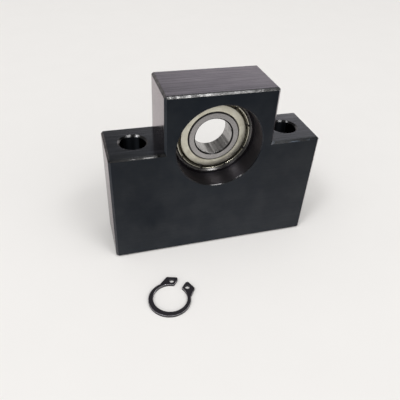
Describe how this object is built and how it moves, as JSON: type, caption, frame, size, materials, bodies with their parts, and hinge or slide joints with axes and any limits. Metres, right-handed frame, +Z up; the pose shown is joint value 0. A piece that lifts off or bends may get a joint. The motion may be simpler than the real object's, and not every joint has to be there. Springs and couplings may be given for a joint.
{
  "type": "lead screw end support",
  "caption": "Hat-shaped black steel block with a shielded ball bearing floating in its bore, bolted down to carry the free end of a lead screw, with its loose retaining ring.",
  "frame": {"origin": "middle of the block's base face", "axes": "+X along the block's length, +Y along the screw's axis from the block's front to its back, +Z up"},
  "size_m": [0.084, 0.0584, 0.07],
  "materials": {
    "black_oxide_block": "milled steel, blackened, satin",
    "ring_steel": "ground bearing steel",
    "ball_steel": "polished bearing steel",
    "shield_sheet": "pressed sheet steel with a warm tint",
    "cage_sheet": "pressed sheet steel",
    "black_spring_steel": "stamped spring steel, phosphated black"
  },
  "bodies": {
    "block": {"bearing_block": "black_oxide_block", "retaining_ring": "black_spring_steel"},
    "outer_ring": {"bearing_outer_ring": "ring_steel", "front_shield": "shield_sheet", "rear_shield": "shield_sheet"},
    "inner_ring": {"bearing_inner_ring": "ring_steel"},
    "cage": {"cage_front": "cage_sheet", "cage_rear": "cage_sheet", "cage_rivets": "cage_sheet"},
    "ball_1": {"ball_1": "ball_steel"},
    "ball_2": {"ball_2": "ball_steel"},
    "ball_3": {"ball_3": "ball_steel"},
    "ball_4": {"ball_4": "ball_steel"},
    "ball_5": {"ball_5": "ball_steel"},
    "ball_6": {"ball_6": "ball_steel"},
    "ball_7": {"ball_7": "ball_steel"},
    "ball_8": {"ball_8": "ball_steel"},
    "ball_9": {"ball_9": "ball_steel"}
  },
  "joints": [
    {"name": "bearing_float", "type": "slide", "parent": "block", "child": "outer_ring", "axis": [0, 1, 0], "range_m": [-0.002, 0.0048]},
    {"name": "inner_ring_spin", "type": "hinge", "parent": "outer_ring", "child": "inner_ring", "pos_m": [0, 0.0012, 0.048], "axis": [0, 1, 0], "continuous": true},
    {"name": "cage_orbit", "type": "hinge", "parent": "outer_ring", "child": "cage", "pos_m": [0, 0.0012, 0.048], "axis": [0, 1, 0], "continuous": true},
    {"name": "ball_1_spin", "type": "hinge", "parent": "cage", "child": "ball_1", "pos_m": [0.01175, 0.0012, 0.048], "axis": [0, 1, 0], "continuous": true},
    {"name": "ball_2_spin", "type": "hinge", "parent": "cage", "child": "ball_2", "pos_m": [0.009, 0.0012, 0.05555], "axis": [0, 1, 0], "continuous": true},
    {"name": "ball_3_spin", "type": "hinge", "parent": "cage", "child": "ball_3", "pos_m": [0.00204, 0.0012, 0.05957], "axis": [0, 1, 0], "continuous": true},
    {"name": "ball_4_spin", "type": "hinge", "parent": "cage", "child": "ball_4", "pos_m": [-0.00588, 0.0012, 0.05818], "axis": [0, 1, 0], "continuous": true},
    {"name": "ball_5_spin", "type": "hinge", "parent": "cage", "child": "ball_5", "pos_m": [-0.01104, 0.0012, 0.05202], "axis": [0, 1, 0], "continuous": true},
    {"name": "ball_6_spin", "type": "hinge", "parent": "cage", "child": "ball_6", "pos_m": [-0.01104, 0.0012, 0.04398], "axis": [0, 1, 0], "continuous": true},
    {"name": "ball_7_spin", "type": "hinge", "parent": "cage", "child": "ball_7", "pos_m": [-0.00588, 0.0012, 0.03782], "axis": [0, 1, 0], "continuous": true},
    {"name": "ball_8_spin", "type": "hinge", "parent": "cage", "child": "ball_8", "pos_m": [0.00204, 0.0012, 0.03643], "axis": [0, 1, 0], "continuous": true},
    {"name": "ball_9_spin", "type": "hinge", "parent": "cage", "child": "ball_9", "pos_m": [0.009, 0.0012, 0.04045], "axis": [0, 1, 0], "continuous": true}
  ],
  "couplings": [
    {"joint": "cage_orbit", "follows": "inner_ring_spin", "ratio": 0.39867},
    {"joint": "ball_1_spin", "follows": "inner_ring_spin", "ratio": -2.3659},
    {"joint": "ball_2_spin", "follows": "inner_ring_spin", "ratio": -2.3659},
    {"joint": "ball_3_spin", "follows": "inner_ring_spin", "ratio": -2.3659},
    {"joint": "ball_4_spin", "follows": "inner_ring_spin", "ratio": -2.3659},
    {"joint": "ball_5_spin", "follows": "inner_ring_spin", "ratio": -2.3659},
    {"joint": "ball_6_spin", "follows": "inner_ring_spin", "ratio": -2.3659},
    {"joint": "ball_7_spin", "follows": "inner_ring_spin", "ratio": -2.3659},
    {"joint": "ball_8_spin", "follows": "inner_ring_spin", "ratio": -2.3659},
    {"joint": "ball_9_spin", "follows": "inner_ring_spin", "ratio": -2.3659}
  ]
}
